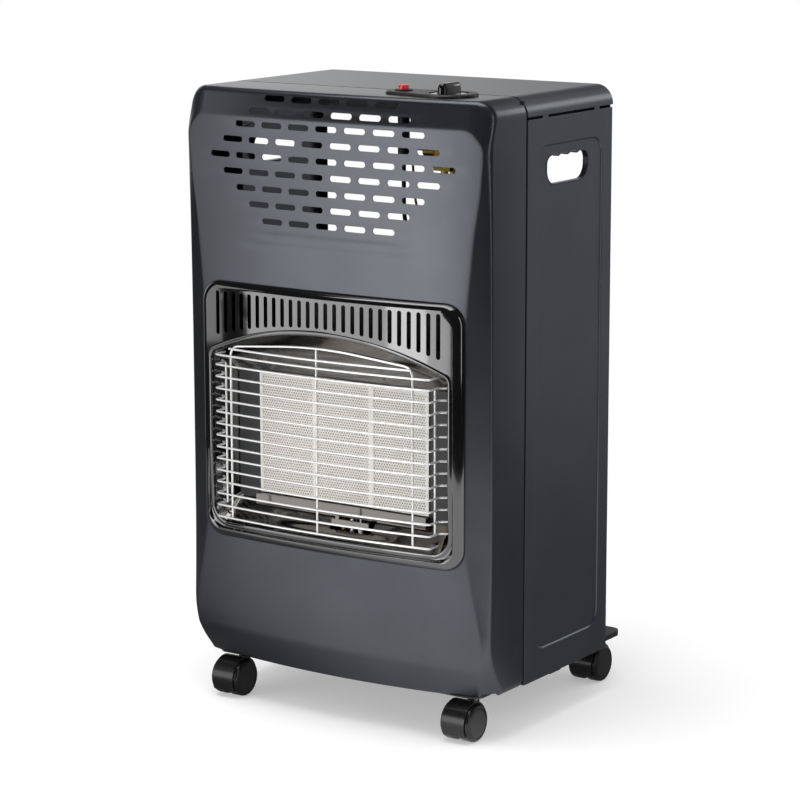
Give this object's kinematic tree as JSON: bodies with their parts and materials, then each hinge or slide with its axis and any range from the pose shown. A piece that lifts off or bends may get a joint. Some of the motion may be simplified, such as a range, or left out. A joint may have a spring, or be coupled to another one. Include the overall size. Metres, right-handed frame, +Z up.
{
  "type": "portable gas heater",
  "caption": "Cabinet gas heater on twin-wheel castors: bowed slotted steel front, ceramic plaque burner behind an arched bezel and wire guard, top knob and ignition button, lift-off rear cover.",
  "frame": {"origin": "on the floor, under the middle of the heater's bounding box", "axes": "+Z up, +X to the right seen from the front, the burner faces -Y"},
  "size_m": [0.42, 0.392, 0.753],
  "materials": {
    "anthracite_paint": "satin metallic paint",
    "black_enamel": "gloss enamel",
    "galvanised_steel": "galvanised sheet",
    "plated_steel": "plain sheet",
    "mirror_steel": "polished sheet",
    "ceramic_plaque": "unglazed pierced ceramic",
    "chrome_wire": "bright plating",
    "brass": "turned",
    "aluminium_pipe": "drawn tube",
    "copper_lead": "drawn copper",
    "lead_rubber": "matte",
    "gloss_black_plastic": "gloss",
    "satin_black_plastic": "satin",
    "red_plastic": "gloss",
    "zinc_socket": "zinc plated",
    "castor_plastic": "moulded",
    "castor_tread": "moulded"
  },
  "bodies": {
    "cabinet": {"base_tray": "black_enamel", "bezel": "black_enamel", "bulkhead": "galvanised_steel", "burner_box": "galvanised_steel", "burner_rail": "plated_steel", "burner_surround": "plated_steel", "castor_sockets": "zinc_socket", "ceramic_plaque_left": "ceramic_plaque", "ceramic_plaque_middle": "ceramic_plaque", "ceramic_plaque_right": "ceramic_plaque", "control_plate": "satin_black_plastic", "front_cover": "anthracite_paint", "gas_tap": "brass", "guard_hoop": "chrome_wire", "guard_rods": "chrome_wire", "guard_wires": "chrome_wire", "heat_shield": "galvanised_steel", "hose_nozzle": "brass", "igniter_nut": "galvanised_steel", "ignition_lead": "lead_rubber", "injector_bar": "galvanised_steel", "injectors": "brass", "mixing_tubes": "plated_steel", "piezo_igniter": "satin_black_plastic", "pilot_bracket": "plated_steel", "pilot_burner": "brass", "pilot_pipe": "aluminium_pipe", "plaque_frame": "plated_steel", "reflector_hood": "mirror_steel", "reflector_side_left": "mirror_steel", "reflector_side_right": "mirror_steel", "reflector_tray": "mirror_steel", "side_panel_left": "anthracite_paint", "side_panel_right": "anthracite_paint", "spark_electrode": "chrome_wire", "supply_pipe": "aluminium_pipe", "tap_bracket": "black_enamel", "thermocouple": "chrome_wire", "thermocouple_lead": "copper_lead", "top_cover": "anthracite_paint"},
    "tap_collar": {"tap_collar": "brass"},
    "knob": {"control_knob": "gloss_black_plastic", "tap_spindle": "brass"},
    "ignition_button": {"ignition_button": "red_plastic"},
    "rear_cover": {"rear_cover": "black_enamel"},
    "castor_front_left": {"castor_hood_front_left": "castor_plastic"},
    "wheel_front_left_a": {"castor_wheel_front_left_a": "castor_tread"},
    "wheel_front_left_b": {"castor_wheel_front_left_b": "castor_tread"},
    "castor_rear_left": {"castor_hood_rear_left": "castor_plastic"},
    "wheel_rear_left_a": {"castor_wheel_rear_left_a": "castor_tread"},
    "wheel_rear_left_b": {"castor_wheel_rear_left_b": "castor_tread"},
    "castor_front_right": {"castor_hood_front_right": "castor_plastic"},
    "wheel_front_right_a": {"castor_wheel_front_right_a": "castor_tread"},
    "wheel_front_right_b": {"castor_wheel_front_right_b": "castor_tread"},
    "castor_rear_right": {"castor_hood_rear_right": "castor_plastic"},
    "wheel_rear_right_a": {"castor_wheel_rear_right_a": "castor_tread"},
    "wheel_rear_right_b": {"castor_wheel_rear_right_b": "castor_tread"}
  },
  "joints": [
    {"name": "collar_push", "type": "slide", "parent": "cabinet", "child": "tap_collar", "axis": [0, 0, -1], "range_m": [0, 0.004], "stiffness_N_per_m": 1500, "springref_m": -0.002},
    {"name": "knob_turn", "type": "hinge", "parent": "tap_collar", "child": "knob", "pos_m": [0.128, -0.111, 0.73], "axis": [0, 0, 1], "range_deg": [0, 270]},
    {"name": "button_push", "type": "slide", "parent": "cabinet", "child": "ignition_button", "axis": [0, 0, -1], "range_m": [0, 0.005], "stiffness_N_per_m": 1500, "springref_m": -0.002},
    {"name": "rear_cover_lift", "type": "slide", "parent": "cabinet", "child": "rear_cover", "axis": [0, 0, 1], "range_m": [0, 0.3]},
    {"name": "castor_swivel_front_left", "type": "hinge", "parent": "cabinet", "child": "castor_front_left", "pos_m": [-0.165, -0.115, 0.05], "axis": [0, 0, 1], "continuous": true},
    {"name": "wheel_spin_front_left_a", "type": "hinge", "parent": "castor_front_left", "child": "wheel_front_left_a", "pos_m": [-0.165, -0.135, 0.0225], "axis": [1, 0, 0], "continuous": true},
    {"name": "wheel_spin_front_left_b", "type": "hinge", "parent": "castor_front_left", "child": "wheel_front_left_b", "pos_m": [-0.165, -0.135, 0.0225], "axis": [1, 0, 0], "continuous": true},
    {"name": "castor_swivel_rear_left", "type": "hinge", "parent": "cabinet", "child": "castor_rear_left", "pos_m": [-0.165, 0.176, 0.05], "axis": [0, 0, 1], "continuous": true},
    {"name": "wheel_spin_rear_left_a", "type": "hinge", "parent": "castor_rear_left", "child": "wheel_rear_left_a", "pos_m": [-0.165, 0.156, 0.0225], "axis": [1, 0, 0], "continuous": true},
    {"name": "wheel_spin_rear_left_b", "type": "hinge", "parent": "castor_rear_left", "child": "wheel_rear_left_b", "pos_m": [-0.165, 0.156, 0.0225], "axis": [1, 0, 0], "continuous": true},
    {"name": "castor_swivel_front_right", "type": "hinge", "parent": "cabinet", "child": "castor_front_right", "pos_m": [0.165, -0.115, 0.05], "axis": [0, 0, 1], "continuous": true},
    {"name": "wheel_spin_front_right_a", "type": "hinge", "parent": "castor_front_right", "child": "wheel_front_right_a", "pos_m": [0.165, -0.135, 0.0225], "axis": [1, 0, 0], "continuous": true},
    {"name": "wheel_spin_front_right_b", "type": "hinge", "parent": "castor_front_right", "child": "wheel_front_right_b", "pos_m": [0.165, -0.135, 0.0225], "axis": [1, 0, 0], "continuous": true},
    {"name": "castor_swivel_rear_right", "type": "hinge", "parent": "cabinet", "child": "castor_rear_right", "pos_m": [0.165, 0.176, 0.05], "axis": [0, 0, 1], "continuous": true},
    {"name": "wheel_spin_rear_right_a", "type": "hinge", "parent": "castor_rear_right", "child": "wheel_rear_right_a", "pos_m": [0.165, 0.156, 0.0225], "axis": [1, 0, 0], "continuous": true},
    {"name": "wheel_spin_rear_right_b", "type": "hinge", "parent": "castor_rear_right", "child": "wheel_rear_right_b", "pos_m": [0.165, 0.156, 0.0225], "axis": [1, 0, 0], "continuous": true}
  ]
}
